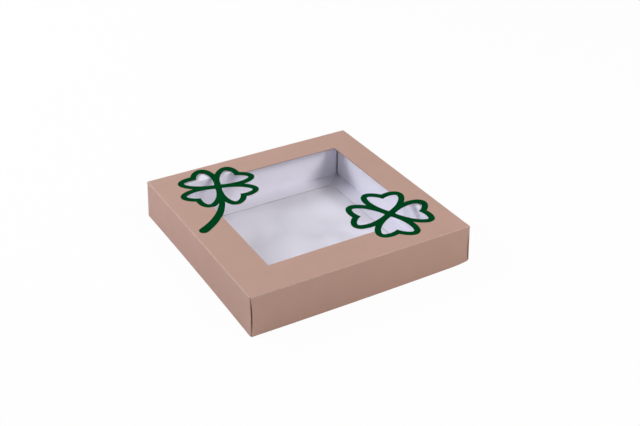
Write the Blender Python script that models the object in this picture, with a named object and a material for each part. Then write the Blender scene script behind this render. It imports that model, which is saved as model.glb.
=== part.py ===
"""A flat square chocolate box in folded card: a white tray under a full-depth windowed lid.

The tray is a hollow-wall tray: on each side the card rises as an outer wall, turns in as a ledge,
falls again as an inner wall and ends in a tab that lies on the floor. The lid's front and back
walls lap over corner flaps and turn in under themselves. A clear film closes the window, and two
four-leaf clovers, die-cut and printed, reach over the window's corners.

Frame: +X runs along the front, +Y from the front to the back, and +Z up. The origin lies under
the middle of the box, on the surface it stands on. All lengths are in metres. Each flat panel
between two creases is one object, and each floor tab has its origin on its own crease.
"""

import math
from dataclasses import dataclass

import bmesh
import bpy
from mathutils import Vector

# The closed box, over the lid's card
BOX_LENGTH = 0.185
BOX_DEPTH = 0.185
BOX_HEIGHT = 0.0315

# Card, film and the gaps between layers
LID_CARD = 0.00045
TRAY_CARD = 0.00045
FILM_THICKNESS = 0.0002
GLUE_THICKNESS = 0.0001
PRINT_THICKNESS = 0.00005
CREASE_GAP = 0.0001
LAYER_GAP = 0.0003
LID_PLAY = 0.0006
LID_FOOT = 0.0003
CUT_OVERRUN = 0.001

# The lid's walls: the slits beside their ends, the corner flaps and the turned-in panels
LID_SLIT_HEAD = 0.0007
LID_SLIT_FOOT = 0.0015
LID_FLAP_LENGTH = 0.025
LID_FLAP_TAPER = 0.003
LID_FLAP_FOOT = 0.001
TURN_IN_HEADROOM = 0.00375
TURN_IN_TAPER = 0.004
TURN_IN_PLAY = 0.0006

# The tray: ledges, inner walls, floor tabs and the corner flaps inside the hollow walls
LEDGE_WIDTH = 0.0163
LEDGE_MITRE_GAP = 0.00025
TRAY_SLIT = 0.0006
INNER_CORNER_SLIT = 0.0004
END_CORNER_RELIEF = 0.0005
SIDE_CORNER_RELIEF = 0.0025
TRAY_FLAP_LENGTH = 0.015
TRAY_FLAP_TAPER = 0.002
TAB_DEPTH = 0.0137
END_TAB_SETBACK = 0.001
SIDE_TAB_SETBACK = 0.0065

# The card borders round the window, its film and the line of glue along the film's edges
LEFT_BORDER = 0.0289
RIGHT_BORDER = 0.0247
FRONT_BORDER = 0.0289
BACK_BORDER = 0.0261
FILM_INSET = 0.004
GLUE_WIDTH = 0.0032
GLUE_INSET = 0.0002

# The clovers: how far their middles lie inside the window's edges, their sizes, and turns in degrees
STEM_CLOVER_INSET = (0.01705, 0.0104)
STEM_CLOVER_TURN = 27.9
STEM_CLOVER_LEAF = 0.0228
PLAIN_CLOVER_INSET = (0.0181, 0.0158)
PLAIN_CLOVER_TURN = -19.5
PLAIN_CLOVER_LEAF = 0.0239
CLOVER_STROKE = 0.0048
LEAF_TIP = 0.0038
STEM_NECK_WIDTH = 0.0030
STEM_END_WIDTH = 0.0078
STEM_BEND = (-0.0079, -0.0400)
STEM_END = (-0.0370, -0.0545)

# Half of a leaf's cut-out heart, from its tip to its notch, as shares of the leaf's length
LEAF_FLANK_SHARES = ((0.0, 0.0), (0.16, 0.20), (0.60, 0.57), (0.945, 0.515))
LEAF_LOBE_SHARES = ((0.945, 0.515), (1.085, 0.47), (0.94, 0.11), (0.80, 0.0))
LEAF_COUNT = 4
CURVE_STEPS = 9
STEM_STEPS = 14
ROUND_END_STEPS = 8

# Levels, from the top down
LID_UNDER = BOX_HEIGHT - LID_CARD
FILM_TOP = LID_UNDER - LAYER_GAP
LEDGE_TOP = FILM_TOP - FILM_THICKNESS - LAYER_GAP
LEDGE_UNDER = LEDGE_TOP - TRAY_CARD
TAB_UNDER = TRAY_CARD + LAYER_GAP
TAB_TOP = TAB_UNDER + TRAY_CARD

# The window's edges, and the clovers' middles by its back left and its front right corner
WINDOW_LEFT = LEFT_BORDER - BOX_LENGTH / 2
WINDOW_RIGHT = BOX_LENGTH / 2 - RIGHT_BORDER
WINDOW_FRONT = FRONT_BORDER - BOX_DEPTH / 2
WINDOW_BACK = BOX_DEPTH / 2 - BACK_BORDER
STEM_CLOVER_PLACE = (WINDOW_LEFT + STEM_CLOVER_INSET[0], WINDOW_BACK - STEM_CLOVER_INSET[1])
PLAIN_CLOVER_PLACE = (WINDOW_RIGHT - PLAIN_CLOVER_INSET[0], WINDOW_FRONT + PLAIN_CLOVER_INSET[1])

# Finishes: linear colour, roughness and opacity
LID_FINISH = ("kraft_lid_card", (0.552, 0.352, 0.275), 0.75, 1.0)
TRAY_FINISH = ("white_tray_card", (0.680, 0.665, 0.720), 0.65, 1.0)
FILM_FINISH = ("clear_film", (0.950, 0.960, 0.970), 0.08, 0.15)
GLUE_FINISH = ("film_glue", (0.780, 0.770, 0.740), 0.30, 0.60)
PRINT_FINISH = ("green_print", (0.003, 0.058, 0.014), 0.45, 1.0)


@dataclass(frozen=True)
class Side:
    """One side of the lid or the tray: its turn about +Z, how far out it lies and its half width.

    A lapping side covers the ends of its neighbours, which carry the corner flaps.
    """

    name: str
    turn: float
    reach: float
    half_run: float
    laps: bool

    def out(self, distance, height):
        """A point on this side's centre line, this far from the middle and above the ground."""
        return Vector((math.sin(self.turn) * distance, -math.cos(self.turn) * distance, height))


@dataclass(frozen=True)
class Clover:
    """One clover: its middle on the lid, its turn in degrees, its leaves' length, and any stem."""

    name: str
    place: tuple
    turn: float
    leaf: float
    stemmed: bool


CLOVERS = (
    Clover("stem_clover", STEM_CLOVER_PLACE, STEM_CLOVER_TURN, STEM_CLOVER_LEAF, True),
    Clover("plain_clover", PLAIN_CLOVER_PLACE, PLAIN_CLOVER_TURN, PLAIN_CLOVER_LEAF, False),
)


def clear_scene():
    """Remove every object that the scene starts with."""
    for item in list(bpy.data.objects):
        bpy.data.objects.remove(item, do_unlink=True)


def material(finish):
    """Return the finish's material, made at its first use."""
    name, colour, roughness, opacity = finish
    found = bpy.data.materials.get(name)
    if found:
        return found
    made = bpy.data.materials.new(name)
    made.use_nodes = True
    shader = made.node_tree.nodes["Principled BSDF"]
    shader.inputs["Base Color"].default_value = (*colour, 1.0)
    shader.inputs["Roughness"].default_value = roughness
    shader.inputs["Metallic"].default_value = 0.0
    shader.inputs["Alpha"].default_value = opacity
    made.diffuse_color = (*colour, opacity)
    return made


def carrier(name):
    """Make the empty that one group of pieces hangs from."""
    empty = bpy.data.objects.new(name, None)
    bpy.context.scene.collection.objects.link(empty)
    return empty


def object_from(shape, name, finish, parent):
    """Turn a finished bmesh into an object under its parent."""
    bmesh.ops.recalc_face_normals(shape, faces=shape.faces)
    mesh = bpy.data.meshes.new(name)
    shape.to_mesh(mesh)
    shape.free()
    made = bpy.data.objects.new(name, mesh)
    bpy.context.scene.collection.objects.link(made)
    made.parent = parent
    if finish:
        mesh.materials.append(material(finish))
    return made


def thicken(shape, faces, thickness):
    """Extrude level faces upwards into a closed sheet."""
    raised = bmesh.ops.extrude_face_region(shape, geom=faces)["geom"]
    top = [item for item in raised if isinstance(item, bmesh.types.BMVert)]
    bmesh.ops.translate(shape, verts=top, vec=(0, 0, thickness))


def raise_outline(shape, outline, low, high):
    """Add a prism to the bmesh: a flat outline at one height, extruded to the other."""
    face = shape.faces.new([shape.verts.new((along, across, low)) for along, across in outline])
    thicken(shape, [face], high - low)


def sheet(name, outline, low, high, finish, parent):
    """Make a lying sheet: an outline in X and Y between two heights of its own."""
    shape = bmesh.new()
    raise_outline(shape, outline, low, high)
    return object_from(shape, name, finish, parent)


def standing_sheet(name, outline, thickness, finish, parent, side, distance, foot):
    """Make a wall panel: its outline runs along the side and up, and its card lies outside that plane."""
    made = sheet(name, outline, 0, thickness, finish, parent)
    made.rotation_euler = (math.pi / 2, 0, side.turn)
    made.location = side.out(distance, foot)
    return made


def lying_sheet(name, outline, low, high, finish, parent, side, distance, height):
    """Make a level panel of a side: its outline runs along the side and inwards from the distance."""
    made = sheet(name, outline, low, high, finish, parent)
    made.rotation_euler = (0, 0, side.turn)
    made.location = side.out(distance, height)
    return made


def tapered(foot_half, head_half, height):
    """Return a symmetric four-cornered outline, from its foot up."""
    return [(-foot_half, 0), (foot_half, 0), (head_half, height), (-head_half, height)]


def relieved(half, height, relief):
    """Return a rectangle whose two lower corners are cut off."""
    right = [(half - relief, 0), (half, relief), (half, height)]
    return right + [(-along, up) for along, up in reversed(right)]


def flap_outline(hand, crease, length, foot, height, taper):
    """Return a corner flap: it leaves its crease at full height and narrows to its free end."""
    return [
        (hand * crease, foot),
        (hand * (crease - length), foot + taper),
        (hand * (crease - length), height - taper),
        (hand * crease, height),
    ]


def rectangle(left, front, right, back):
    """Return the rectangle between a left and a right X and a front and a back Y."""
    return [(left, front), (right, front), (right, back), (left, back)]


def centred(half_length, half_depth):
    """Return a rectangle about the middle of the box."""
    return rectangle(-half_length, -half_depth, half_length, half_depth)


def sides_of(half_length, half_depth):
    """Return the front, right, back and left sides of a body of this size."""
    quarter = math.pi / 2
    return (
        Side("front", 0, half_depth, half_length, True),
        Side("right", quarter, half_length, half_depth, False),
        Side("back", 2 * quarter, half_depth, half_length, True),
        Side("left", 3 * quarter, half_length, half_depth, False),
    )


def curve_point(pulls, share):
    """Return the point at this share of the way along a smooth curve drawn by its pulls."""
    points = [Vector(pull) for pull in pulls]
    while len(points) > 1:
        points = [first.lerp(second, share) for first, second in zip(points, points[1:])]
    return points[0]


def leaf_half(leaf):
    """Return half of a heart cut-out, from its tip near the clover's middle to its notch."""
    points = []
    for shares in (LEAF_FLANK_SHARES, LEAF_LOBE_SHARES):
        points += [curve_point(shares, step / CURVE_STEPS) * leaf for step in range(CURVE_STEPS)]
    points.append(Vector(LEAF_LOBE_SHARES[-1]) * leaf)
    return [point + Vector((LEAF_TIP, 0)) for point in points]


def grown(points, widths):
    """Return the points moved to the left of the line that they make, each by its own width."""
    moved = []
    for index, (point, width) in enumerate(zip(points, widths)):
        before = points[max(index - 1, 0)]
        after = points[min(index + 1, len(points) - 1)]
        along = (after - before).normalized()
        moved.append(point + Vector((-along.y, along.x)) * width)
    return moved


def crossing(first, second, height_of):
    """Return the point between two points where the height that a function gives them is zero."""
    start, end = height_of(first), height_of(second)
    return first.lerp(second, start / (start - end))


def leaf_edge_half(leaf):
    """Return half of a leaf's outer edge, from the line where two leaves meet to the notch."""
    cut_edge = leaf_half(leaf)
    edge = grown(cut_edge, [CLOVER_STROKE] * len(cut_edge))
    above = []
    for first, second in zip(edge, edge[1:]):
        if first.y >= 0:
            above.append(first)
        if first.y > 0 > second.y:
            above.append(crossing(first, second, lambda point: point.y))
    inside = []
    for first, second in zip(above, above[1:]):
        if first.x < first.y and second.x >= second.y:
            inside = [crossing(first, second, lambda point: point.x - point.y)]
        if second.x > second.y:
            inside.append(second)
    return inside


def mirrored(points):
    """Return the points on the other side of the leaf's middle line."""
    return [Vector((point.x, -point.y)) for point in points]


def on_lid(points, clover, turns):
    """Return a leaf's points after this many turns round the clover, moved to the clover's place."""
    turn = math.radians(clover.turn) + turns * 2 * math.pi / LEAF_COUNT
    along = Vector((math.cos(turn), math.sin(turn)))
    across = Vector((-math.sin(turn), math.cos(turn)))
    middle = Vector(clover.place)
    return [tuple(middle + along * point.x + across * point.y) for point in points]


def clover_edge(clover):
    """Return the outer edge of the four leaves together."""
    half = leaf_edge_half(clover.leaf)
    leaf = mirrored(half) + list(reversed(half))[1:-1]
    return [point for turns in range(LEAF_COUNT) for point in on_lid(leaf, clover, turns)]


def heart_outlines(clover):
    """Return the four heart-shaped cut-outs."""
    half = leaf_half(clover.leaf)
    heart = half + list(reversed(mirrored(half)))[1:-1]
    return [on_lid(heart, clover, turns) for turns in range(LEAF_COUNT)]


def stem_outline(clover):
    """Return the stem: a bent band that widens from the leaves to its round end."""
    pulls = ((0, 0), STEM_BEND, STEM_END)
    shares = [step / STEM_STEPS for step in range(STEM_STEPS + 1)]
    middle_line = [curve_point(pulls, share) for share in shares]
    widening = STEM_END_WIDTH - STEM_NECK_WIDTH
    halves = [(STEM_NECK_WIDTH + widening * share) / 2 for share in shares]
    left = grown(middle_line, halves)
    right = grown(middle_line, [-half for half in halves])
    tip = middle_line[-1]
    across = left[-1] - tip
    along = Vector((across.y, -across.x))
    end = []
    for step in range(1, ROUND_END_STEPS):
        angle = math.pi * step / ROUND_END_STEPS
        end.append(tip + across * math.cos(angle) + along * math.sin(angle))
    middle = Vector(clover.place)
    return [tuple(middle + point) for point in left + end + list(reversed(right))]


def guide(name, outlines, overrun, parent):
    """Make a cutter that passes well through the lid's card, hidden from the finished box."""
    shape = bmesh.new()
    for outline in outlines:
        raise_outline(shape, outline, -LID_CARD - overrun, PRINT_THICKNESS + overrun)
    made = object_from(shape, name, None, parent)
    made.location = (0, 0, BOX_HEIGHT)
    made.hide_render = True
    made.display_type = "WIRE"
    return made


def cut(target, tool, operation="DIFFERENCE"):
    """Cut the target with a guide, or join the guide to it."""
    modifier = target.modifiers.new(f"{operation.lower()}_{tool.name}", "BOOLEAN")
    modifier.operation = operation
    modifier.solver = "EXACT"
    modifier.object = tool


def build_clovers(lid):
    """Make each clover's outline guide, its heart guide and its printed layer."""
    outlines, hearts = [], []
    whole_top = centred(BOX_LENGTH / 2, BOX_DEPTH / 2)
    for clover in CLOVERS:
        outline = guide(f"{clover.name}_outline", [clover_edge(clover)], 2 * CUT_OVERRUN, lid)
        if clover.stemmed:
            stem = guide(f"{clover.name}_stem", [stem_outline(clover)], 2 * CUT_OVERRUN, lid)
            cut(outline, stem, "UNION")
        heart = guide(f"{clover.name}_hearts", heart_outlines(clover), CUT_OVERRUN, lid)
        layer = sheet(f"{clover.name}_print", whole_top, 0, PRINT_THICKNESS, PRINT_FINISH, lid)
        layer.location = (0, 0, BOX_HEIGHT)
        cut(layer, outline, "INTERSECT")
        cut(layer, heart)
        outlines.append(outline)
        hearts.append(heart)
    return outlines, hearts


def build_lid_top(lid):
    """Make the lid's top panel: window and hearts are cut out, and the clovers' webs stay."""
    outlines, hearts = build_clovers(lid)
    opening = rectangle(WINDOW_LEFT, WINDOW_FRONT, WINDOW_RIGHT, WINDOW_BACK)
    window = guide("window_cut", [opening], CUT_OVERRUN, lid)
    for outline in outlines:
        cut(window, outline)
    whole_top = centred(BOX_LENGTH / 2, BOX_DEPTH / 2)
    panel = sheet("lid_top_panel", whole_top, -LID_CARD, 0, LID_FINISH, lid)
    panel.location = (0, 0, BOX_HEIGHT)
    cut(panel, window)
    for heart in hearts:
        cut(panel, heart)


def build_lid_walls(lid):
    """Make the lid's four walls, and what lies behind the two that lap."""
    height = LID_UNDER - CREASE_GAP - LID_FOOT
    for side in sides_of(BOX_LENGTH / 2, BOX_DEPTH / 2):
        foot_half = side.half_run - (LID_SLIT_FOOT if side.laps else LID_CARD + LAYER_GAP)
        head_half = side.half_run - (LID_SLIT_HEAD if side.laps else LID_CARD + LAYER_GAP)
        wall = tapered(foot_half, head_half, height)
        inner_face = side.reach - LID_CARD
        name = f"lid_{side.name}_wall"
        standing_sheet(name, wall, LID_CARD, LID_FINISH, lid, side, inner_face, LID_FOOT)
        if side.laps:
            flap_reach = inner_face - LAYER_GAP - LID_CARD
            build_lid_flaps(lid, side, flap_reach, height)
            build_lid_turn_in(lid, side, flap_reach - LAYER_GAP - LID_CARD)


def build_lid_turn_in(lid, side, reach):
    """Make the hem under one lapping wall, and the panel that it turns in behind the flaps."""
    crease = side.reach - LID_CARD - CREASE_GAP
    half = side.half_run - LID_CARD - TURN_IN_PLAY
    hem = tapered(half, half, crease - reach - LID_CARD - CREASE_GAP)
    name = f"lid_{side.name}_hem"
    lying_sheet(name, hem, 0, LID_CARD, LID_FINISH, lid, side, crease, LID_FOOT)
    height = FILM_TOP - FILM_THICKNESS - TURN_IN_HEADROOM - LID_FOOT
    panel = tapered(half, half - TURN_IN_TAPER, height)
    name = f"lid_{side.name}_turn_in"
    standing_sheet(name, panel, LID_CARD, LID_FINISH, lid, side, reach, LID_FOOT)


def build_lid_flaps(lid, side, reach, height):
    """Make the two corner flaps behind one lapping wall."""
    crease = side.half_run - LID_CARD - CREASE_GAP
    for name, hand in (("left", -1), ("right", 1)):
        outline = flap_outline(hand, crease, LID_FLAP_LENGTH, LID_FLAP_FOOT, height, LID_FLAP_TAPER)
        label = f"lid_{side.name}_flap_{name}"
        standing_sheet(label, outline, LID_CARD, LID_FINISH, lid, side, reach, LID_FOOT)


def build_film(lid):
    """Make the clear film under the lid's top, and the line of glue along its edges."""
    half_length = BOX_LENGTH / 2 - FILM_INSET
    half_depth = BOX_DEPTH / 2 - FILM_INSET
    outline = centred(half_length, half_depth)
    film = sheet("window_film", outline, -FILM_THICKNESS, 0, FILM_FINISH, lid)
    film.location = (0, 0, FILM_TOP)
    shape = bmesh.new()
    line = centred(half_length - GLUE_INSET, half_depth - GLUE_INSET)
    whole = shape.faces.new([shape.verts.new((along, across, 0)) for along, across in line])
    shape.normal_update()
    bmesh.ops.inset_region(
        shape, faces=[whole], thickness=GLUE_WIDTH, use_boundary=True, use_even_offset=True
    )
    bmesh.ops.delete(shape, geom=[whole], context="FACES_ONLY")
    thicken(shape, list(shape.faces), GLUE_THICKNESS)
    glue = object_from(shape, "film_glue", GLUE_FINISH, lid)
    glue.location = (0, 0, FILM_TOP + (LAYER_GAP - GLUE_THICKNESS) / 2)


def build_tray_side(tray, side, opening):
    """Make one side of the tray: outer wall, ledge, inner wall and floor tab."""
    foot = TRAY_CARD + CREASE_GAP
    half = side.half_run - (TRAY_SLIT if side.laps else TRAY_CARD + LAYER_GAP)
    wall = tapered(half, half, LEDGE_UNDER - CREASE_GAP - foot)
    name = f"tray_{side.name}_wall"
    standing_sheet(name, wall, TRAY_CARD, TRAY_FINISH, tray, side, side.reach - TRAY_CARD, foot)

    ledge_half = side.half_run - LEDGE_MITRE_GAP
    ledge = tapered(ledge_half, ledge_half - LEDGE_WIDTH, LEDGE_WIDTH)
    name = f"tray_{side.name}_ledge"
    lying_sheet(name, ledge, -TRAY_CARD, 0, TRAY_FINISH, tray, side, side.reach, LEDGE_TOP)

    relief = END_CORNER_RELIEF if side.laps else SIDE_CORNER_RELIEF
    height = LEDGE_UNDER - CREASE_GAP - TAB_UNDER
    inner = relieved(opening.half_run - INNER_CORNER_SLIT, height, relief)
    name = f"tray_{side.name}_inner_wall"
    standing_sheet(name, inner, TRAY_CARD, TRAY_FINISH, tray, side, opening.reach, TAB_UNDER)

    tab_half = opening.half_run - (END_TAB_SETBACK if side.laps else SIDE_TAB_SETBACK)
    tab = tapered(tab_half, tab_half - TAB_DEPTH, TAB_DEPTH)
    name = f"tray_{side.name}_tab"
    crease = opening.reach - CREASE_GAP
    lying_sheet(name, tab, -TRAY_CARD, 0, TRAY_FINISH, tray, side, crease, TAB_TOP)


def build_tray_flaps(tray, side):
    """Make the two corner flaps inside the hollow of one lapping side."""
    foot = TRAY_CARD + CREASE_GAP
    height = LEDGE_UNDER - CREASE_GAP - foot
    crease = side.half_run - TRAY_CARD - CREASE_GAP
    reach = side.reach - 2 * TRAY_CARD - LAYER_GAP
    for name, hand in (("left", -1), ("right", 1)):
        outline = flap_outline(hand, crease, TRAY_FLAP_LENGTH, 0, height, TRAY_FLAP_TAPER)
        label = f"tray_{side.name}_flap_{name}"
        standing_sheet(label, outline, TRAY_CARD, TRAY_FINISH, tray, side, reach, foot)


def build_tray(tray):
    """Make the tray's floor and its four hollow sides."""
    half_length = BOX_LENGTH / 2 - LID_CARD - LID_PLAY
    half_depth = BOX_DEPTH / 2 - 3 * LID_CARD - 2 * LAYER_GAP - LID_PLAY
    sheet("tray_floor", centred(half_length, half_depth), 0, TRAY_CARD, TRAY_FINISH, tray)
    sides = sides_of(half_length, half_depth)
    openings = sides_of(half_length - LEDGE_WIDTH, half_depth - LEDGE_WIDTH)
    for side, opening in zip(sides, openings):
        build_tray_side(tray, side, opening)
        if side.laps:
            build_tray_flaps(tray, side)


def main():
    """Build the closed box."""
    clear_scene()
    tray = carrier("tray")
    build_tray(tray)
    lid = carrier("lid")
    build_lid_top(lid)
    build_lid_walls(lid)
    build_film(lid)


main()
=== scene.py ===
"""A square box for chocolates, dressed: a windowed kraft lid over a white tray with hollow walls.

The lid and the tray are each one blank of card, folded as the real one is. All lengths are in
metres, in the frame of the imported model: +X along the front, +Y to the back, +Z up.
"""

import logging
import math
from collections.abc import Callable
from dataclasses import dataclass, field
from enum import Enum
from functools import cache

import bmesh
import bpy
from mathutils import Matrix, Vector, noise


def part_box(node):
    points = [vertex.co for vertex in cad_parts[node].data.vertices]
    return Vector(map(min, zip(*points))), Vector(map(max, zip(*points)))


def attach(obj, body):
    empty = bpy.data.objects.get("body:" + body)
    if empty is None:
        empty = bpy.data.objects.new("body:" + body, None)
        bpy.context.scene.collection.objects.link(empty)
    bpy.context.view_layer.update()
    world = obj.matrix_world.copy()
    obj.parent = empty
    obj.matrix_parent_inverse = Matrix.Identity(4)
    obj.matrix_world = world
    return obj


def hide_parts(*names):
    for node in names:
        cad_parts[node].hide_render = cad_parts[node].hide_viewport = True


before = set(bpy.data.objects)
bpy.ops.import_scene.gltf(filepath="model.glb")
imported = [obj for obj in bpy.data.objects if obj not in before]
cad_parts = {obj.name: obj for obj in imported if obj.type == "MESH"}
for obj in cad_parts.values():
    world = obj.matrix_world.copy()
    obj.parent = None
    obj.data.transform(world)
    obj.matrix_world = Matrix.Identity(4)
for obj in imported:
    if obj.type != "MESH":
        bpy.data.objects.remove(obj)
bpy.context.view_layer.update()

LOG = logging.getLogger("chocolate_box")
UP = Vector((0, 0, 1))
NEAR = 1e-6
HANDS = (-1, 1)
FOLD_MARK = "fold"

Triple = tuple[float, float, float]
Colour = tuple[float, float, float]
Settings = dict[str, object]
Values = dict[str | int, object]
Row = list[bmesh.types.BMEdge]

WHITE: Colour = (1.0, 1.0, 1.0)
WARM: Colour = (1.05, 1.02, 0.91)
COOL: Colour = (0.965, 0.995, 1.04)


class Side(Enum):
    """A side of the box, by its quarter turns from the front."""

    FRONT = 0
    RIGHT = 1
    BACK = 2
    LEFT = 3

    @property
    def title(self) -> str:
        """The side's name in the names of pieces and bodies."""
        return self.name.lower()

    @property
    def out(self) -> Vector:
        """The level direction that this side faces."""
        return Matrix.Rotation(self.value * math.pi / 2, 3, "Z") @ Vector((0, -1, 0))

    @property
    def along(self) -> Vector:
        """The level direction from left to right, seen from outside."""
        return Matrix.Rotation(self.value * math.pi / 2, 3, "Z") @ Vector((1, 0, 0))

    @property
    def laps(self) -> bool:
        """Whether this side's wall covers its neighbours' corner flaps."""
        return self in (Side.FRONT, Side.BACK)


class Body(Enum):
    """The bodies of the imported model."""

    LID = "lid"
    TRAY = "tray"
    FRONT_TAB = "front_tab"
    RIGHT_TAB = "right_tab"
    BACK_TAB = "back_tab"
    LEFT_TAB = "left_tab"


class Slot(Enum):
    """The record's material slots."""

    LID_CARD = "lid_card"
    TRAY_CARD = "tray_card"
    FILM = "window_film"
    GLUE = "film_glue"
    PRINT = "green_print"


class Wire:
    """An output socket of a node. Arithmetic on it adds Math nodes."""

    def __init__(self, nodes: "Nodes", socket: bpy.types.NodeSocket) -> None:
        """Wrap an output socket of some nodes."""
        self.nodes = nodes
        self.socket = socket

    def _maths(self, operation: str, first: "Wire | float", second: "Wire | float") -> "Wire":
        """Return the result of one new Math node."""
        return self.nodes.node("ShaderNodeMath", {"operation": operation}, {0: first, 1: second})

    def __add__(self, other: "Wire | float") -> "Wire":
        """Return the sum."""
        return self._maths("ADD", self, other)

    def __radd__(self, other: float) -> "Wire":
        """Return the sum, for a number on the left."""
        return self._maths("ADD", other, self)

    def __sub__(self, other: "Wire | float") -> "Wire":
        """Return the difference."""
        return self._maths("SUBTRACT", self, other)

    def __rsub__(self, other: float) -> "Wire":
        """Return the difference, for a number on the left."""
        return self._maths("SUBTRACT", other, self)

    def __mul__(self, other: "Wire | float") -> "Wire":
        """Return the product."""
        return self._maths("MULTIPLY", self, other)

    def __rmul__(self, other: float) -> "Wire":
        """Return the product, for a number on the left."""
        return self._maths("MULTIPLY", other, self)


class Nodes:
    """The nodes of a material or of the world, while they are put together."""

    def __init__(self, tree: bpy.types.NodeTree) -> None:
        """Start on a node tree."""
        self.tree = tree

    def node(self, kind: str, settings: Settings, values: Values, output: int | str = 0) -> Wire:
        """Add a node.

        Args:
            kind: The node's type.
            settings: The node's own properties, set before its sockets.
            values: A number, a colour or a Wire for each input socket, by name or index.
            output: The output socket to return.

        Returns:
            The chosen output.
        """
        made = self.tree.nodes.new(kind)
        for name, value in settings.items():
            setattr(made, name, value)
        for name, value in values.items():
            self.feed(made.inputs[name], value)
        return Wire(self, made.outputs[output])

    def feed(self, socket: bpy.types.NodeSocket, value: object) -> None:
        """Link a Wire to an input socket, or set the socket to a number, a colour or a vector."""
        if isinstance(value, Wire):
            self.tree.links.new(value.socket, socket)
        elif isinstance(value, tuple) and len(value) < len(socket.default_value):
            socket.default_value = (*value, 1.0)
        else:
            socket.default_value = value

    def seen_rays(self) -> Wire:
        """Return 1 for rays that are seen, straight or in a gloss, and 0 for those that light things."""
        seen = 0.0
        for ray in ("Is Camera Ray", "Is Glossy Ray", "Is Transmission Ray"):
            found = self.node("ShaderNodeLightPath", {}, {}, ray)
            seen = self.node("ShaderNodeMath", {"operation": "MAXIMUM"}, {0: seen, 1: found})
        return seen

    def show_white(self, kind: str, lit: bpy.types.Node, share: float, output: str) -> None:
        """Show white to the rays that are seen, and keep a shader for those that light things.

        Args:
            kind: The type of the shader node that gives the white.
            lit: The shader node to keep.
            share: How much of what is seen is white.
            output: The name of the output node.
        """
        white = self.node(kind, {}, {"Color": WHITE, "Strength": 1.0})
        values = {0: self.seen_rays() * share, 1: Wire(self, lit.outputs[0]), 2: white}
        mixed = self.node("ShaderNodeMixShader", {}, values)
        self.feed(self.tree.nodes[output].inputs["Surface"], mixed)


class Paint(Nodes):
    """A procedural material on the object's own coordinates."""

    # How the painted fold colour, rubbed wear and painted light, is broken into runs and specks.
    wear_and_light_run_scale = 160.0
    wear_and_light_speck_scale = 1100.0
    wear_and_light_onset = (0.32, 0.55)

    def __init__(self, name: str) -> None:
        """Start a material of this name with a Principled shader."""
        self.material = bpy.data.materials.new(name)
        self.material.use_nodes = True
        super().__init__(self.material.node_tree)
        self.shader = self.tree.nodes["Principled BSDF"]

    def place(self, scale: Triple = (1.0, 1.0, 1.0), turn: Triple = (0.0, 0.0, 0.0)) -> Wire:
        """Return the object's own coordinates, stretched by a scale and turned by radians."""
        at = self.node("ShaderNodeTexCoord", {}, {}, "Object")
        return self.node("ShaderNodeMapping", {}, {"Vector": at, "Rotation": turn, "Scale": scale})

    def cloud(self, at: Wire, scale: float, detail: float = 2.0) -> Wire:
        """Return a noise between 0 and 1, by its cycles in one unit and its finer octaves."""
        values = {"Vector": at, "Scale": scale, "Detail": detail, "Roughness": 0.55}
        return self.node("ShaderNodeTexNoise", {}, values, "Fac")

    def ramp(self, value: Wire, low: float, high: float) -> Wire:
        """Return 0 below low, 1 above high and a smooth rise between."""
        values = {"Value": value, "From Min": low, "From Max": high}
        return self.node("ShaderNodeMapRange", {"interpolation_type": "SMOOTHSTEP"}, values)

    def blend(self, share: Wire | float, first: Wire | Colour, second: Wire | Colour) -> Wire:
        """Mix two colours, with a share of the second."""
        settings = {"data_type": "RGBA", "clamp_factor": True}
        return self.node("ShaderNodeMix", settings, {0: share, 6: first, 7: second}, 2)

    def toned(self, colour: Colour, spread: float, share: Wire) -> Wire:
        """Return a colour made darker to lighter, by a spread, as a value goes from 0 to 1."""
        dark = tuple(part * (1 - spread) for part in colour)
        light = tuple(part * (1 + spread) for part in colour)
        return self.blend(share, dark, light)

    def relief(self, height: Wire, depth: float, strength: float) -> Wire:
        """Return the normal of a fine relief, whose height of 1 stands for a depth in metres."""
        values = {"Height": height, "Distance": depth, "Strength": strength}
        return self.node("ShaderNodeBump", {}, values, "Normal")

    def fold_wear_and_light(self) -> Wire:
        """Return the share of the folds' colour, rubbed wear and painted light: on the folds alone, and
        broken into short runs.
        """
        mark = self.node("ShaderNodeAttribute", {"attribute_name": FOLD_MARK}, {}, "Fac")
        long_runs = self.cloud(self.place(), self.wear_and_light_run_scale, 3.0)
        specks = self.cloud(self.place(), self.wear_and_light_speck_scale, 2.0)
        return mark * self.ramp(long_runs * 0.6 + specks * 0.4, *self.wear_and_light_onset)

    def finish(self, values: Values) -> bpy.types.Material:
        """Feed the shader, by the names of its sockets, and return the material."""
        for name, value in values.items():
            self.feed(self.shader.inputs[name], value)
        return self.material


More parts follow.
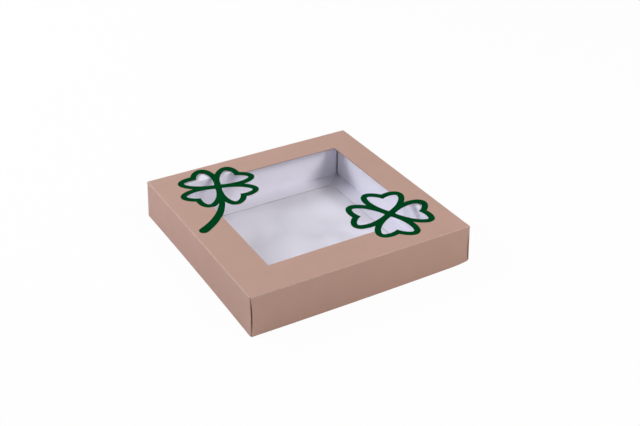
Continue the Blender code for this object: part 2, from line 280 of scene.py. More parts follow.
@dataclass(frozen=True)
class CardFace:
    """A printed or coated side of card: fine fibres, a faint mottle and a colour along the folds, which is
    rubbed wear and a painted highlight on the kraft and painted shade in the creases of the other faces.
    """

    name: str
    colour: Colour
    fold_wear_and_light_colour: Colour
    roughness: float
    mottle: float
    fibre_depth: float
    fibre_scale: Triple = (320.0, 2300.0, 2300.0)
    cross_fibre_scale: Triple = (2100.0, 380.0, 900.0)
    cloud_scale: float = 55.0
    patch_scale: float = 14.0
    felt_weight: float = 0.8
    cloud_weight: float = 0.9
    fold_wear_and_light_share: float = 0.8
    cloud_gloss: float = 0.12
    felt_gloss: float = 0.10

    def material(self) -> bpy.types.Material:
        """Return the material of this side of the card, newly made."""
        paint = Paint(self.name)
        fibres = paint.cloud(paint.place(self.fibre_scale, (0.0, 0.3, 0.5)), 1.0, 3.0)
        cross_fibres = paint.cloud(paint.place(self.cross_fibre_scale, (0.2, 0.0, -0.4)), 1.0, 3.0)
        felt = (fibres + cross_fibres) * 0.5
        clouds = paint.cloud(paint.place(), self.cloud_scale, 4.0)
        patches = paint.cloud(paint.place(), self.patch_scale, 2.0)
        even = (self.felt_weight + 2 * self.cloud_weight - 1) / 2
        share = felt * self.felt_weight + clouds * self.cloud_weight + patches * self.cloud_weight - even
        colour = paint.toned(self.colour, self.mottle, share)
        gloss = (clouds - 0.5) * self.cloud_gloss + (felt - 0.5) * self.felt_gloss
        return paint.finish({
            # The fold colour is painted light: a lighter painted highlight on the kraft, which also stands
            # for rubbed wear, and darker painted shade in the creases of the white faces.
            "Base Color": paint.blend(paint.fold_wear_and_light() * self.fold_wear_and_light_share, colour, self.fold_wear_and_light_colour),
            "Roughness": self.roughness + gloss,
            "Specular IOR Level": 0.15,
            "Normal": paint.relief(felt * 0.7 + clouds * 0.3, self.fibre_depth, 0.35),
        })


@dataclass(frozen=True)
class CutEdge:
    """The cut edge of card: pulp in thin layers, with a little fluff, and dark green near the clovers, which
    is ink run over the edge made darker than the print as painted shade.
    """

    name: str
    colour: Colour
    mottle: float = 0.14
    fluff_scale: float = 1500.0
    fluff_depth: float = 0.00006
    ply_scale: float = 9000.0
    ply_stretch: Triple = (0.08, 0.08, 1.0)
    inked_and_shaded: tuple[Triple, ...] = ()
    # Darker than the print's green: painted shade on the inked cut edges.
    ink: Colour = (0.0003, 0.030, 0.0070)
    ink_and_shade_fringe: float = 0.0005

    def material(self) -> bpy.types.Material:
        """Return the material of the cut edges, newly made."""
        paint = Paint(self.name)
        fluff = paint.cloud(paint.place(), self.fluff_scale, 3.0)
        plies = paint.cloud(paint.place(self.ply_stretch), self.ply_scale, 1.0)
        colour = paint.toned(self.colour, self.mottle, fluff * 0.6 + plies * 0.4)
        for along, across, reach in self.inked_and_shaded:
            ends = {0: paint.place((1.0, 1.0, 0.0)), 1: (along, across, 0.0)}
            away = paint.node("ShaderNodeVectorMath", {"operation": "DISTANCE"}, ends, "Value")
            share = paint.ramp(away, reach + self.ink_and_shade_fringe, reach - self.ink_and_shade_fringe)
            colour = paint.blend(share, colour, self.ink)
        return paint.finish({
            "Base Color": colour,
            "Roughness": 0.9,
            "Specular IOR Level": 0.2,
            "Normal": paint.relief(fluff, self.fluff_depth, 0.5),
        })


@dataclass(frozen=True)
class GreenInk:
    """Dark green ink on card: thick, slightly uneven and a little glossier than the card."""

    colour: Colour = (0.0003, 0.060, 0.0140)
    mottle: float = 0.30
    cloud_scale: float = 130.0
    grain_scale: float = 1700.0
    grain_depth: float = 0.00002
    pinhole_colour: Colour = (0.10, 0.13, 0.07)
    pinhole_scale: float = 900.0
    pinhole_onset: tuple[float, float] = (0.76, 0.82)
    pinhole_share: float = 0.35
    roughness: float = 0.50
    cloud_gloss: float = 0.16

    def material(self) -> bpy.types.Material:
        """Return the material of the print, newly made."""
        paint = Paint("green_ink")
        clouds = paint.cloud(paint.place(), self.cloud_scale, 3.0)
        grain = paint.cloud(paint.place(), self.grain_scale, 2.0)
        pinholes = paint.ramp(paint.cloud(paint.place(), self.pinhole_scale, 1.0), *self.pinhole_onset)
        colour = paint.toned(self.colour, self.mottle, clouds * 0.8 + grain * 0.2)
        return paint.finish({
            "Base Color": paint.blend(pinholes * self.pinhole_share, colour, self.pinhole_colour),
            "Roughness": self.roughness + (clouds - 0.5) * self.cloud_gloss,
            "Specular IOR Level": 0.0,
            "Normal": paint.relief(grain, self.grain_depth, 0.3),
        })


@dataclass(frozen=True)
class ClearFilm:
    """Clear film: nearly all that is seen of it is what it mirrors."""

    colour: Colour = (0.93, 0.95, 0.98)
    opacity: float = 0.025
    haze: float = 0.012
    haze_scale: float = 26.0
    haze_stretch: Triple = (1.0, 3.0, 1.0)
    haze_turn: Triple = (0.0, 0.0, 0.6)
    metallic: float = 0.85
    roughness: float = 0.09

    def material(self) -> bpy.types.Material:
        """Return the material of the film, newly made."""
        paint = Paint("clear_film_gloss")
        clouds = paint.cloud(paint.place(self.haze_stretch, self.haze_turn), self.haze_scale, 2.0)
        return paint.finish({
            "Base Color": self.colour,
            "Metallic": self.metallic,
            "Alpha": self.opacity + (clouds - 0.5) * self.haze,
            "Roughness": self.roughness,
        })


@dataclass(frozen=True)
class DriedGlue:
    """A thin line of dried clear glue."""

    colour: Colour = (0.70, 0.68, 0.66)
    mottle: float = 0.10
    opacity: float = 0.22
    roughness: float = 0.40
    blob_scale: float = 420.0
    blob_gloss: float = 0.16
    blob_depth: float = 0.0001

    def material(self) -> bpy.types.Material:
        """Return the material of the glue, newly made."""
        paint = Paint("dried_glue")
        blobs = paint.cloud(paint.place(), self.blob_scale, 3.0)
        return paint.finish({
            "Base Color": paint.toned(self.colour, self.mottle, blobs),
            "Roughness": self.roughness + blobs * self.blob_gloss,
            "Alpha": self.opacity,
            "Normal": paint.relief(blobs, self.blob_depth, 0.5),
        })


Finish = CardFace | CutEdge | GreenInk | ClearFilm | DriedGlue

# Rounds of the lid's top, by middle and radius, where the cut edges are dark green: the clovers' ink run
# over them, darkened as painted shade.
INKED_AND_SHADED_ROUNDS = ((-0.04655, 0.0560, 0.0315), (-0.0592, 0.0235, 0.0125), (0.0497, -0.0478, 0.0325))
# Each face's second colour is painted along its folds: lighter on the kraft, for rubbed wear and a painted
# highlight; darker on the lid's reverse and the tray's faces, as painted shade in the creases.
KRAFT = CardFace("kraft_face", (0.552, 0.350, 0.289), (0.720, 0.520, 0.445), 0.74, 0.045, 0.00005)
LID_REVERSE = CardFace("lid_reverse", (0.700, 0.680, 0.690), (0.660, 0.640, 0.640), 0.80, 0.030, 0.00005)
# The lid's cut edges are a darker brown than bare pulp, partly as painted shade in the slits at the corners.
LID_EDGE = CutEdge("lid_cut_edge", (0.340, 0.235, 0.190), inked_and_shaded=INKED_AND_SHADED_ROUNDS)
WHITE_BOARD = CardFace("white_board", (0.885, 0.863, 0.955), (0.800, 0.775, 0.840), 0.62, 0.022, 0.00003)
TRAY_REVERSE = CardFace("tray_reverse", (0.850, 0.825, 0.905), (0.780, 0.750, 0.830), 0.70, 0.024, 0.00004)
# The tray's cut edges are a darker grey than its board, partly as painted shade along the tabs' free edges.
TRAY_EDGE = CutEdge("tray_cut_edge", (0.520, 0.500, 0.540))
TRAY_FINISHES = [WHITE_BOARD, TRAY_REVERSE, TRAY_EDGE]


@cache
def material_of(finish: Finish) -> bpy.types.Material:
    """Return a finish's material, made at its first use."""
    return finish.material()


def placed(name: str, data: bpy.types.ID) -> bpy.types.Object:
    """Put a mesh, a light or a camera into the scene and return its object."""
    made = bpy.data.objects.new(name, data)
    bpy.context.scene.collection.objects.link(made)
    return made


def clamped(value: float, low: float = 0.0) -> float:
    """Return a value kept between a lower limit and 1."""
    return min(1.0, max(low, value))


def smooth(share: float) -> float:
    """Return a smooth rise from 0 to 1 over a share from 0 to 1."""
    return share * share * (3 - 2 * share)


def arch(share: float) -> float:
    """Return an arch that is 0 at both ends and 1 halfway."""
    return 4 * share * (1 - share)


def dome(at: Vector, half: float) -> float:
    """Return a dome's height over a square: 1 in its middle and 0 at its edges and beyond."""
    return clamped(1 - (at.x / half) ** 2) * clamped(1 - (at.y / half) ** 2)


def spaced(half: float, cell: float) -> list[float]:
    """Return places strictly between -half and half, evenly spaced by about a cell."""
    count = round(2 * half / cell)
    return [-half + 2 * half * index / count for index in range(1, count)]


def verts_of(row: Row) -> list[bmesh.types.BMVert]:
    """Return the points of a row of edges, each once."""
    return list(dict.fromkeys(vert for edge in row for vert in edge.verts))


@dataclass(frozen=True)
class Ripple:
    """A smooth unevenness between about -1 and 1. Its wave is about the distance between rises."""

    wave: float
    seed: float

    def at(self, point: Vector) -> float:
        """Return its value at a point."""
        wave, seed = self.wave, self.seed
        return noise.noise(Vector((point.x / wave + seed, point.y / wave - seed, point.z / wave + 3 * seed)))


class FoldedCard:
    """A blank of card while it is folded: its faces are the side that ends up outside."""

    fold_steps = 5
    rounding_passes = 2
    bulge_parts = 16
    longest_facet = 0.006
    sharpest_facet = math.radians(45)

    def __init__(self, mesh: bpy.types.Mesh | None = None) -> None:
        """Start a blank, from a mesh if one is given."""
        self.shape = bmesh.new()
        if mesh is not None:
            self.shape.from_mesh(mesh)
        self.mark = self.shape.verts.layers.float.new(FOLD_MARK)

    @classmethod
    def from_node(cls, name: str) -> "FoldedCard":
        """Start from the upper faces of a CAD node's level panel, with its curved outlines rounded."""
        card = cls(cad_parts[name].data)
        shape = card.shape
        bmesh.ops.remove_doubles(shape, verts=shape.verts, dist=NEAR)
        shape.normal_update()
        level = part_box(name)[1].z - NEAR
        lower = [face for face in shape.faces if face.normal.z < 0.5 or face.calc_center_median().z < level]
        bmesh.ops.delete(shape, geom=lower, context="FACES")
        inner = [edge for edge in shape.edges if not edge.is_boundary]
        bmesh.ops.delete(shape, geom=list(shape.faces), context="FACES_ONLY")
        bmesh.ops.delete(shape, geom=inner, context="EDGES")
        for _ in range(cls.rounding_passes):
            card.round_outlines()
        bmesh.ops.triangle_fill(shape, use_beauty=True, edges=shape.edges, normal=UP)
        return card

    def round_outlines(self) -> None:
        """Halve the facets of curved outlines, with each new point on the curve through the old ones."""
        places = []
        for edge in self.shape.edges:
            length = edge.calc_length()
            if length < self.longest_facet:
                first, second = edge.verts
                turn = self.way_on(edge, first) + self.way_on(edge, second)
                places.append((edge, first, (first.co + second.co) / 2 - turn * (length / self.bulge_parts)))
        for edge, first, place in places:
            halfway = bmesh.utils.edge_split(edge, first, 0.5)[1]
            halfway.co = place

    def way_on(self, edge: bmesh.types.BMEdge, end: bmesh.types.BMVert) -> Vector:
        """Return the direction in which an outline goes on from a facet's end.

        Args:
            edge: The facet.
            end: The end.

        Returns:
            The next facet's direction, or the facet's own where a corner is sharp.
        """
        straight = (end.co - edge.other_vert(end).co).normalized()
        others = [other for other in end.link_edges if other is not edge]
        if len(others) != 1:
            return straight
        turned = (others[0].other_vert(end).co - end.co).normalized()
        return turned if straight.angle(turned) < self.sharpest_facet else straight

    def cut(self, side: Side, place: float, clear: bool = False) -> None:
        """Cut the card by a plane this far out on a side. What lies beyond it is cleared if asked."""
        bmesh.ops.bisect_plane(
            self.shape, geom=[*self.shape.verts, *self.shape.edges, *self.shape.faces], dist=NEAR,
            plane_co=side.out * place, plane_no=side.out, clear_outer=clear,
        )

    def grid(self, half: float, cell: float) -> None:
        """Cut lines about a cell apart through the level card, so that it can bend evenly."""
        for side in (Side.RIGHT, Side.BACK):
            for place in spaced(half, cell):
                self.cut(side, place)

    def cut_across(self, *places: float) -> None:
        """Cut lines from left to right through the level card, so far before and behind its middle."""
        for place in places:
            for hand in HANDS:
                self.cut(Side.BACK, hand * place)

    def trim(self, half: float) -> None:
        """Cut off what lies beyond a square about the middle, given half of its side."""
        for side in Side:
            self.cut(side, half, clear=True)

    def free_edges(self, side: Side, out: float, start: float, end: float) -> Row:
        """Find the free edges in a stretch of one side.

        Args:
            side: The side.
            out: How far out they lie.
            start: Where the stretch starts, along the side.
            end: Where it ends.

        Returns:
            The edges whose two ends lie in the stretch.
        """
        way_out, way_along = side.out, side.along
        return [
            edge for edge in self.shape.edges if edge.is_boundary and all(
                abs(vert.co.dot(way_out) - out) < NEAR
                and start - NEAR < vert.co.dot(way_along) < end + NEAR
                for vert in edge.verts
            )
        ]

    def fold(self, row: Row, centre: Vector, axis: Vector, degrees: float) -> Row:
        """Bend the card on from a row of free edges.

        Args:
            row: The free edges.
            centre: A point on the bend's axis.
            axis: The axis.
            degrees: The turn.

        Returns:
            The free edges after the bend.
        """
        before = set(self.shape.verts)
        spun = bmesh.ops.spin(
            self.shape, geom=[*row, *verts_of(row)], cent=centre, axis=axis, angle=math.radians(degrees),
            steps=self.fold_steps, use_merge=False, use_duplicate=False,
        )["geom_last"]
        last = {item for item in spun if isinstance(item, bmesh.types.BMVert)}
        for vert in set(self.shape.verts) - before - last:
            vert[self.mark] = 1.0
        return [item for item in spun if isinstance(item, bmesh.types.BMEdge)]

    def fold_end(self, side: Side, out: float, along: float, bend: float, degrees: float) -> Row:
        """Fold in an upright end of a wall.

        Args:
            side: The wall's side.
            out: How far out the wall stands.
            along: Where it ends, along the side.
            bend: The bend's radius.
            degrees: The turn.

        Returns:
            The free edges after the bend.
        """
        row = self.free_edges(side, out, along, along)
        centre = side.out * (out - bend) + side.along * along
        return self.fold(row, centre, UP, math.copysign(degrees, along))

    def run(self, row: Row, step: Vector) -> Row:
        """Carry the card on flat from a row of free edges by one step, and return its new free edges."""
        grown = bmesh.ops.extrude_edge_only(self.shape, edges=row)["geom"]
        verts = {item for item in grown if isinstance(item, bmesh.types.BMVert)}
        for vert in verts:
            vert[self.mark] = 0.0
            vert.co += step
        edges = [item for item in grown if isinstance(item, bmesh.types.BMEdge)]
        return [edge for edge in edges if all(vert in verts for vert in edge.verts)]

    def run_in_rows(
        self, row: Row, step: Vector, rows: int, after: Callable[[Row, float], None] | None = None
    ) -> Row:
        """Carry the card on in equal rows.

        Args:
            row: The free edges.
            step: The whole way and distance.
            rows: The number of rows.
            after: Called, if given, with each new row and its share of the way.

        Returns:
            The last free edges.
        """
        for index in range(rows):
            row = self.run(row, step / rows)
            if after:
                after(row, (index + 1) / rows)
        return row

    def run_flap(self, row: Row, step: Vector, rows: int, low: float, high: float, taper: float) -> None:
        """Carry a corner flap on, narrower towards its end.

        Args:
            row: The free edges at its root.
            step: The whole way and distance.
            rows: The number of rows.
            low: The height of its foot at the root.
            high: The height of its head there.
            taper: How much it loses at its foot, and as much at its head.
        """
        self.run_in_rows(
            row, step, rows, lambda made, share: self.stand(made, low + taper * share, high - taper * share)
        )

    def spread(self, row: Row, side: Side, half: float, left_half: float | None = None) -> None:
        """Stretch or shrink a row along its side.

        Args:
            row: The row.
            side: The side that it belongs to.
            half: How far it reaches to the right of the side's middle, seen from outside.
            left_half: How far it reaches to the left, where that differs.
        """
        for hand, target in ((1, half), (-1, half if left_half is None else left_half)):
            part = [vert for vert in verts_of(row) if hand * vert.co.dot(side.along) > NEAR]
            share = target / max(hand * vert.co.dot(side.along) for vert in part) - 1
            for vert in part:
                vert.co += side.along * (share * vert.co.dot(side.along))

    def stand(self, row: Row, low: float, high: float) -> None:
        """Stretch an upright row between two heights."""
        heights = [vert.co.z for vert in verts_of(row)]
        start, end = min(heights), max(heights)
        for vert in verts_of(row):
            vert.co.z = low + (high - low) * (vert.co.z - start) / (end - start)

    def face_up(self, level: float) -> None:
        """Turn the faces so that a level face at this height looks up."""
        bmesh.ops.recalc_face_normals(self.shape, faces=self.shape.faces)
        self.shape.normal_update()
        levels = [face for face in self.shape.faces if abs(face.calc_center_median().z - level) < NEAR]
        if sum(face.normal.z for face in levels) < 0:
            bmesh.ops.reverse_faces(self.shape, faces=self.shape.faces)

    def warp(self, move: Callable[[Vector], Vector]) -> None:
        """Move every point by the shift that a function gives for it."""
        for vert in self.shape.verts:
            vert.co += move(vert.co)

    def put_in_order(self) -> None:
        """Order points, edges and faces by place, because the operators' order varies between runs."""
        for items, key in (
            (self.shape.verts, lambda vert: tuple(vert.co)),
            (self.shape.edges, lambda edge: sorted(vert.index for vert in edge.verts)),
            (self.shape.faces, lambda face: sorted(vert.index for vert in face.verts)),
        ):
            for index, item in enumerate(sorted(items, key=key)):
                item.index = index
            items.sort()

    def piece(self, name: str, finishes: list[Finish], thickness: float) -> bpy.types.Object:
        """Turn the card into a piece with its real thickness.

        Args:
            name: The piece's name.
            finishes: The finishes of its face, its reverse and its cut edges, or one for all.
            thickness: The card's thickness, which lies behind its faces.

        Returns:
            The piece.
        """
        self.put_in_order()
        for face in self.shape.faces:
            face.smooth = True
            face.material_index = 0
        for edge in self.shape.edges:
            edge.smooth = not edge.is_boundary
        mesh = bpy.data.meshes.new(name)
        self.shape.to_mesh(mesh)
        self.shape.free()
        for finish in finishes:
            mesh.materials.append(material_of(finish))
        made = placed(name, mesh)
        plies = made.modifiers.new("card_thickness", "SOLIDIFY")
        plies.thickness = thickness
        plies.offset = -1.0
        plies.use_even_offset = True
        plies.use_rim = True
        if len(finishes) > 1:
            plies.material_offset = 1
            plies.material_offset_rim = 2
        return made


def settle(piece: bpy.types.Object, body: Body, nodes: list[str]) -> None:
    """Give a piece its body and the CAD nodes that it stands for.

    Args:
        piece: The piece.
        body: The body that it rides on.
        nodes: The CAD nodes that it replaces.
    """
    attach(piece, body.value)
    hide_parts(*nodes)
    LOG.info("%s rides on %s and replaces %d nodes", piece.name, body.value, len(nodes))


@dataclass(frozen=True)
class Lean:
    """How far a wall's foot stands out: at its left end, its right end and between them."""

    left: float
    right: float
    bow: float
    tuck: float = 0.0
    tuck_start: float = 0.86
    swell: float = 1.0

    def at(self, share: float) -> float:
        """Return how far the foot stands out at a place from -1, the left end, to 1, the right end."""
        tucked = self.tuck * smooth(clamped((share - self.tuck_start) / (1 - self.tuck_start)))
        straight = self.left + (self.right - self.left) * (share + 1) / 2
        return straight + self.bow * (1 - share ** 2) - tucked

    def held(self, height: float) -> float:
        """Return how much of the lean shows at a height: all at 0, the foot, and none at 1, the head."""
        return max(0.0, 1 - height) ** self.swell


@dataclass
class Lid:
    """The lid: a kraft blank with a window and cut clovers, their print, the film and its glue."""

    half: float = 0.0925
    height: float = 0.0315
    card: float = 0.00045
    foot: float = 0.0001
    bend: float = 0.0006
    cell: float = 0.006
    wall_rows: int = 6
    near_slit: Triple = (0.0005, 0.0010, 0.0004)
    far_slit: Triple = (0.0003, 0.00145, 0.0019)
    back_slit: Triple = (0.0001, 0.0001, 0.0003)
    hem_bend: float = 0.0004
    hem_half: float = 0.0906
    turn_in_face: float = 0.0903
    turn_in_top: float = 0.0268
    turn_in_taper: float = 0.004
    flap_bend: float = 0.0005
    flap_length: float = 0.025
    flap_rows: int = 4
    flap_taper: float = 0.003
    flap_gap: float = 0.0010
    flap_fold_gap: float = 0.00015
    flap_tuck: float = 60.0
    flap_foot: float = 0.0003
    flap_sag: float = 0.0002
    foot_round: float = 0.0016
    crown: float = 0.0013
    crown_flattening: float = 0.8
    unevenness: float = 0.00009
    uneven_onset: float = 3.0
    uneven_waves: Ripple = Ripple(0.055, 1.7)
    lean_band: float = 0.012
    leans: dict[Side, Lean] = field(default_factory=lambda: {
        Side.FRONT: Lean(0.0022, 0.0016, 0.0008, 0.0012),
        Side.RIGHT: Lean(0.0017, 0.0, 0.0002, swell=0.4),
        Side.BACK: Lean(0.0003, 0.0003, 0.0002),
        Side.LEFT: Lean(0.0018, 0.0015, -0.0006),
    })
    film_level: float = 0.03075
    film_half: float = 0.0885
    film_cell: float = 0.003
    film_thickness: float = 0.0001
    film_ripple: float = 0.00006
    film_held: float = 0.022
    film_ease: float = 0.02
    film_waves: Ripple = Ripple(0.030, 5.1)
    fine_film_waves: Ripple = Ripple(0.013, 8.3)
    fine_film_share: float = 0.5
    glue_thickness: float = 0.00008
    glue_inset: float = 0.0018
    glue_swell: float = 0.22
    glue_waves: Ripple = Ripple(0.009, 2.9)
    ink_lift: float = 0.00004
    ink_thickness: float = 0.00003

    def build(self) -> None:
        """Build every piece that lifts off with the lid."""
        self.build_blank()
        self.build_print("stem_clover")
        self.build_print("plain_clover")
        self.build_film()
        self.build_glue()

    def shift(self, at: Vector) -> Vector:
        """Return how far a point of the flat lid moves: the top's crown and the walls' leans and bows."""
        top = dome(at, self.half)
        rise = self.crown * top / (1 + self.crown_flattening * top)
        uneven = self.unevenness * clamped(self.uneven_onset * top) * self.uneven_waves.at(at)
        moved = UP * (rise + uneven)
        for side, lean in self.leans.items():
            share = clamped((at.dot(side.out) - self.half) / self.lean_band + 1)
            along = clamped(at.dot(side.along) / self.half, -1.0)
            moved += side.out * (lean.at(along) * smooth(share) * lean.held(at.z / self.height))
        return moved

    def build_blank(self) -> None:
        """Fold the lid's card: top, walls, corner flaps, hems and turned-in panels."""
        blank = FoldedCard.from_node("lid_top_panel")
        flat_half = self.half - self.bend
        blank.trim(flat_half)
        blank.grid(flat_half, self.cell)
        side_half = self.half - self.card - self.flap_fold_gap - self.flap_bend
        blank.cut_across(side_half, side_half - self.foot_round)
        for side in (Side.RIGHT, Side.LEFT):
            self.fold_side_wall(blank, side, side_half)
        for side in (Side.FRONT, Side.BACK):
            self.fold_lapping_wall(blank, side)
        blank.face_up(self.height)
        blank.warp(self.shift)
        nodes = [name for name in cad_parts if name.startswith("lid_")]
        piece = blank.piece("lid_blank", [KRAFT, LID_REVERSE, LID_EDGE], self.card)
        settle(piece, Body.LID, nodes)

    def top_fold(self, blank: FoldedCard, side: Side, half: float) -> Row:
        """Fold down one edge of the top, this far either way from its middle. Return its free edges."""
        edge = self.half - self.bend
        row = blank.free_edges(side, edge, -half, half)
        centre = side.out * edge + UP * (self.height - self.bend)
        return blank.fold(row, centre, side.along, 90)

    def fold_side_wall(self, blank: FoldedCard, side: Side, half: float) -> None:
        """Fold down a left or right wall, and fold its ends in as corner flaps.

        The end folds turn past square, and a short slope leads back to the flaps.

        Args:
            blank: The lid's card.
            side: The side.
            half: Half of the wall's run between its two upright folds.
        """
        before = set(blank.shape.verts)
        row = self.top_fold(blank, side, half)
        head = self.height - self.bend
        blank.run_in_rows(row, -UP * (head - self.foot), self.wall_rows)
        wall = set(blank.shape.verts)
        tuck = math.radians(self.flap_tuck)
        flap_face = self.half - self.card - self.flap_gap
        depth = half + self.flap_bend * math.cos(tuck) - flap_face
        for hand in HANDS:
            end = blank.fold_end(side, self.half, hand * half, self.flap_bend, 90 + self.flap_tuck)
            slope = side.out * (1 / math.tan(tuck)) + side.along * hand
            end = blank.run(end, -slope * depth)
            step = -side.out * self.flap_length
            blank.run_flap(end, step, self.flap_rows, self.foot, head, self.flap_taper)
        start = half - self.foot_round
        for vert in set(blank.shape.verts) - before:
            beyond = (abs(vert.co.dot(side.along)) - start) / self.foot_round if vert in wall else 1.0
            if beyond > 0:
                self.ease_end(vert, side, clamped(beyond))

    def ease_end(self, vert: bmesh.types.BMVert, side: Side, share: float) -> None:
        """Let a point near a side wall's end sag inwards and lift off the table, by its share."""
        sag = self.flap_sag * arch(vert.co.z / self.height) * share
        vert.co -= side.along * math.copysign(sag, vert.co.dot(side.along))
        if vert.co.z < self.foot + self.flap_taper + NEAR:
            vert.co.z += self.flap_foot * share ** 2

    def fold_lapping_wall(self, blank: FoldedCard, side: Side) -> None:
        """Fold down a front or back wall, fold its hem under and turn its panel in."""
        row = self.top_fold(blank, side, self.half - self.bend)
        self.set_slits(blank, row, side, 0.0)
        drop = self.height - self.bend - self.hem_bend - self.foot
        row = blank.run_in_rows(
            row, -UP * drop, self.wall_rows,
            lambda made, share: self.set_slits(blank, made, side, share),
        )
        level = UP * (self.foot + self.hem_bend)
        hem_start = self.half - self.hem_bend
        hem_end = self.turn_in_face + self.hem_bend
        row = blank.fold(row, side.out * hem_start + level, side.along, 90)
        blank.spread(row, side, self.hem_half)
        row = blank.run(row, -side.out * (hem_start - hem_end))
        row = blank.fold(row, side.out * hem_end + level, side.along, 90)
        rise = self.turn_in_top - self.foot - self.hem_bend
        blank.run_in_rows(
            row, UP * rise, self.wall_rows,
            lambda made, share: blank.spread(made, side, self.hem_half - self.turn_in_taper * share),
        )

    def set_slits(self, blank: FoldedCard, row: Row, side: Side, share: float) -> None:
        """End a row of a lapping wall, this share of the way down, so that its two slits stay open."""
        slits = (self.far_slit, self.near_slit) if side is Side.FRONT else (self.back_slit, self.back_slit)
        halves = [
            self.half - head - (foot - head) * share - middle * arch(share) for head, middle, foot in slits
        ]
        blank.spread(row, side, *halves)

    def build_print(self, clover: str) -> None:
        """Lay one clover's ink on the card, given the clover's name in its CAD node."""
        node = f"{clover}_print"
        ink = FoldedCard.from_node(node)
        ink.grid(self.half, self.cell)
        drop = self.height + self.ink_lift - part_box(node)[1].z
        ink.warp(lambda at: self.shift(at) + UP * drop)
        piece = ink.piece(f"{clover}_ink", [GreenInk()], self.ink_thickness)
        settle(piece, Body.LID, [node])

    def build_film(self) -> None:
        """Stretch the film under the top, a little uneven where nothing holds it."""
        film = FoldedCard()
        cells = round(2 * self.film_half / self.film_cell)
        bmesh.ops.create_grid(film.shape, x_segments=cells, y_segments=cells, size=self.film_half)
        bmesh.ops.translate(film.shape, verts=film.shape.verts, vec=UP * self.film_level)
        film.warp(self.film_shift)
        piece = film.piece("film_sheet", [ClearFilm()], self.film_thickness)
        settle(piece, Body.LID, ["window_film"])

    def film_shift(self, at: Vector) -> Vector:
        """Return how far a point of the flat film moves: with the lid, and in ripples off the glue."""
        free = clamped((self.film_half - self.film_held - max(abs(at.x), abs(at.y))) / self.film_ease)
        waves = self.film_waves.at(at) + self.fine_film_share * self.fine_film_waves.at(at)
        return self.shift(at) + UP * (self.film_ripple * free * waves)

    def build_glue(self) -> None:
        """Lay the line of glue between the film's edges and the top."""
        glue = FoldedCard.from_node("film_glue")
        glue.grid(self.half, self.film_cell)
        glue.warp(self.glue_shift)
        piece = glue.piece("glue_line", [DriedGlue()], self.glue_thickness)
        settle(piece, Body.LID, ["film_glue"])

    def glue_shift(self, at: Vector) -> Vector:
        """Return how far a point of an even line of glue moves: with the lid, and to an uneven width."""
        inner = self.film_half - self.glue_inset
        middle = Vector((min(max(at.x, -inner), inner), min(max(at.y, -inner), inner), at.z))
        return self.shift(at) + (at - middle) * (self.glue_swell * self.glue_waves.at(at))


